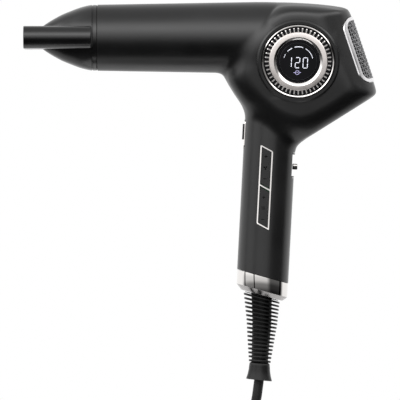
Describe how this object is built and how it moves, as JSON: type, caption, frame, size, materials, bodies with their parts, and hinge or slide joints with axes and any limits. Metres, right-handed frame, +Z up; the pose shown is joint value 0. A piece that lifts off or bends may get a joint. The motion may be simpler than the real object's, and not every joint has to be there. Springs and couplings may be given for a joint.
{
  "type": "hair dryer",
  "caption": "Black pistol-grip hair dryer with a concentrator nozzle, round display dial, side rocker keys, removable rear filter and a coiled mains cord.",
  "frame": {"origin": "middle of the hand grip on the handle's axis", "axes": "-X the way the air blows, +Z up the handle, -Y out of the dial's face"},
  "size_m": [0.2821, 0.125, 0.3712],
  "materials": {
    "casing_black": "soft-touch satin black",
    "inner_black": "matte black, heat-resistant",
    "silver_trim": "polished warm silver plating",
    "gloss_black": "gloss black",
    "foam": "fine dark filter foam",
    "rubber": "matte black",
    "brass_pins": "nickel-plated brass",
    "steel": "machined",
    "motor_alloy": "bead-blasted",
    "duct_plastic": "moulded dark grey",
    "mica": "mica sheet",
    "board_green": "circuit board laminate",
    "wire_insulation": "silicone-insulated wires"
  },
  "bodies": {
    "dryer": {"left_shell": "casing_black", "right_shell": "casing_black", "dial_collar": "casing_black", "cool_shot_frame": "casing_black", "slider_plate": "casing_black", "barrel_front_ring": "inner_black", "outlet_grille": "inner_black", "dial_bearing": "inner_black", "slide_switch": "inner_black", "cool_shot_switch": "inner_black", "dial_trim_ring": "silver_trim", "button_frame": "silver_trim", "end_cap": "silver_trim", "display_lens": "gloss_black", "strain_relief": "rubber", "cord_tube": "rubber", "cord_coil": "rubber", "plug_lead": "rubber", "cord_tie": "rubber", "plug_body": "rubber", "inner_cord": "rubber", "motor_mounts": "rubber", "plug_pins": "brass_pins", "motor_stator": "steel", "motor_bearings": "steel", "clamp_screws": "steel", "heater_coil": "steel", "ion_emitter": "steel", "motor_case": "motor_alloy", "motor_end_plate": "motor_alloy", "fan_duct": "duct_plastic", "cord_clamp": "duct_plastic", "thermal_cutout": "duct_plastic", "ion_module": "duct_plastic", "heat_shield": "mica", "heater_frame": "mica", "display_board": "board_green", "rocker_board": "board_green", "control_board": "board_green", "handle_wires": "wire_insulation"},
    "nozzle_collar": {"nozzle_collar": "inner_black"},
    "nozzle": {"nozzle_shell": "casing_black"},
    "filter": {"rear_grille_frame": "silver_trim", "rear_grille_mesh": "inner_black", "filter_foam": "foam"},
    "dial": {"dial_knurl": "silver_trim", "dial_face_ring": "silver_trim"},
    "upper_rocker": {"upper_rocker": "gloss_black"},
    "lower_rocker": {"lower_rocker": "gloss_black"},
    "cool_shot": {"cool_shot_button": "silver_trim"},
    "power_slider": {"power_slider": "silver_trim"},
    "fan": {"motor_shaft": "steel", "rotor_magnet": "steel", "impeller": "duct_plastic"}
  },
  "joints": [
    {"name": "nozzle_pull", "type": "slide", "parent": "dryer", "child": "nozzle_collar", "axis": [-1, 0, 0], "range_m": [0, 0.025]},
    {"name": "nozzle_spin", "type": "hinge", "parent": "nozzle_collar", "child": "nozzle", "pos_m": [-0.14, 0, 0.1338], "axis": [1, 0, 0], "continuous": true},
    {"name": "filter_pull", "type": "slide", "parent": "dryer", "child": "filter", "axis": [0.9478, 0, 0.319], "range_m": [0, 0.03]},
    {"name": "dial_spin", "type": "hinge", "parent": "dryer", "child": "dial", "pos_m": [0.0252, -0.03, 0.1146], "axis": [0, -0.9962, -0.0872], "continuous": true},
    {"name": "upper_rocker_tilt", "type": "hinge", "parent": "dryer", "child": "upper_rocker", "pos_m": [-0.00036, -0.0183, 0.02991], "axis": [0.9932, -0.1045, -0.052], "range_deg": [-2.5, 2.5], "stiffness_Nm_per_rad": 0.3},
    {"name": "lower_rocker_tilt", "type": "hinge", "parent": "dryer", "child": "lower_rocker", "pos_m": [-0.00203, -0.0183, -0.002], "axis": [0.9932, -0.1045, -0.052], "range_deg": [-2.5, 2.5], "stiffness_Nm_per_rad": 0.3},
    {"name": "cool_shot_press", "type": "slide", "parent": "dryer", "child": "cool_shot", "axis": [0.9986, 0, -0.0523], "range_m": [0, 0.0012], "stiffness_N_per_m": 1500},
    {"name": "power_slide", "type": "slide", "parent": "dryer", "child": "power_slider", "axis": [0.0523, 0, 0.9986], "range_m": [0, 0.004]},
    {"name": "fan_spin", "type": "hinge", "parent": "dryer", "child": "fan", "pos_m": [0.02, 0, 0.1338], "axis": [1, 0, 0], "continuous": true}
  ]
}
